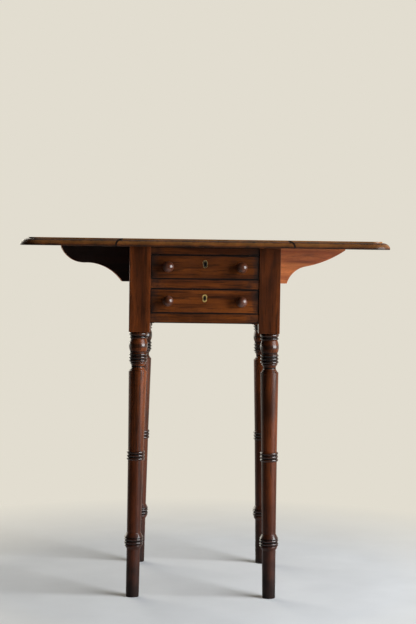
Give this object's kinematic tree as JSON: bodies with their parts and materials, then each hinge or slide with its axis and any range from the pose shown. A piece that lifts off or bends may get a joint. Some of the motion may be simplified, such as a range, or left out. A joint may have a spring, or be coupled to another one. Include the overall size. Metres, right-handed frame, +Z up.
{
  "type": "work table",
  "caption": "Small drop-leaf work table on turned ring legs, with drawers with ball knobs and leaves held up by swinging ogee brackets.",
  "frame": {"origin": "on the floor, under the middle of the table", "axes": "+X to the right along the open top, +Y to the rear, +Z up; the drawers open towards -Y"},
  "size_m": [0.736, 0.42, 0.72],
  "materials": {
    "mahogany": "old polish, dark",
    "bracket_wood": "thin old polish",
    "secondary_wood": "unpolished",
    "brass": "dull",
    "iron": "dark, worn"
  },
  "bodies": {
    "frame": {"front_left_leg": "mahogany", "front_right_leg": "mahogany", "rear_left_leg": "mahogany", "rear_right_leg": "mahogany", "top_front_rail": "mahogany", "middle_front_rail": "mahogany", "bottom_front_rail": "mahogany", "rear_panel": "mahogany", "upper_dummy_front": "mahogany", "lower_dummy_front": "mahogany", "rear_knobs": "mahogany", "centre_top": "mahogany", "left_fly_rail": "bracket_wood", "right_fly_rail": "bracket_wood", "left_side_rail": "secondary_wood", "right_side_rail": "secondary_wood", "drawer_kickers": "secondary_wood", "upper_drawer_runners": "secondary_wood", "lower_drawer_runners": "secondary_wood", "upper_drawer_guides": "secondary_wood", "lower_drawer_guides": "secondary_wood", "upper_drawer_stops": "secondary_wood", "lower_drawer_stops": "secondary_wood", "left_knuckle_pin": "iron", "right_knuckle_pin": "iron", "fly_rail_screws": "iron", "top_screws": "iron", "centre_hinge_screws": "iron", "left_hinge_flaps": "iron", "right_hinge_flaps": "iron", "left_hinge_pins": "iron", "right_hinge_pins": "iron"},
    "left_leaf": {"left_leaf": "mahogany", "left_leaf_flaps": "iron", "left_leaf_screws": "iron"},
    "left_bracket": {"left_fly_bracket": "bracket_wood"},
    "right_leaf": {"right_leaf": "mahogany", "right_leaf_flaps": "iron", "right_leaf_screws": "iron"},
    "right_bracket": {"right_fly_bracket": "bracket_wood"},
    "upper_drawer": {"upper_drawer_front": "mahogany", "upper_drawer_left_side": "secondary_wood", "upper_drawer_right_side": "secondary_wood", "upper_drawer_back": "secondary_wood", "upper_drawer_bottom": "secondary_wood", "upper_drawer_left_knob": "mahogany", "upper_drawer_right_knob": "mahogany", "upper_drawer_escutcheon": "brass", "upper_drawer_lock": "brass"},
    "lower_drawer": {"lower_drawer_front": "mahogany", "lower_drawer_left_side": "secondary_wood", "lower_drawer_right_side": "secondary_wood", "lower_drawer_back": "secondary_wood", "lower_drawer_bottom": "secondary_wood", "lower_drawer_left_knob": "mahogany", "lower_drawer_right_knob": "mahogany", "lower_drawer_escutcheon": "brass", "lower_drawer_lock": "brass"}
  },
  "joints": [
    {"name": "left_leaf_lift", "type": "hinge", "parent": "frame", "child": "left_leaf", "pos_m": [-0.165, 0, 0.707], "axis": [0, 1, 0], "range_deg": [0, 2]},
    {"name": "right_leaf_lift", "type": "hinge", "parent": "frame", "child": "right_leaf", "pos_m": [0.165, 0, 0.707], "axis": [0, -1, 0], "range_deg": [0, 2]},
    {"name": "left_bracket_swing", "type": "hinge", "parent": "frame", "child": "left_bracket", "pos_m": [-0.14, 0.022, 0.6665], "axis": [0, 0, 1], "range_deg": [-11, 79]},
    {"name": "right_bracket_swing", "type": "hinge", "parent": "frame", "child": "right_bracket", "pos_m": [0.14, 0.022, 0.6665], "axis": [0, 0, -1], "range_deg": [0, 90]},
    {"name": "upper_drawer_slide", "type": "slide", "parent": "frame", "child": "upper_drawer", "axis": [0, -1, 0], "range_m": [0, 0.24]},
    {"name": "lower_drawer_slide", "type": "slide", "parent": "frame", "child": "lower_drawer", "axis": [0, -1, 0], "range_m": [0, 0.24]}
  ]
}
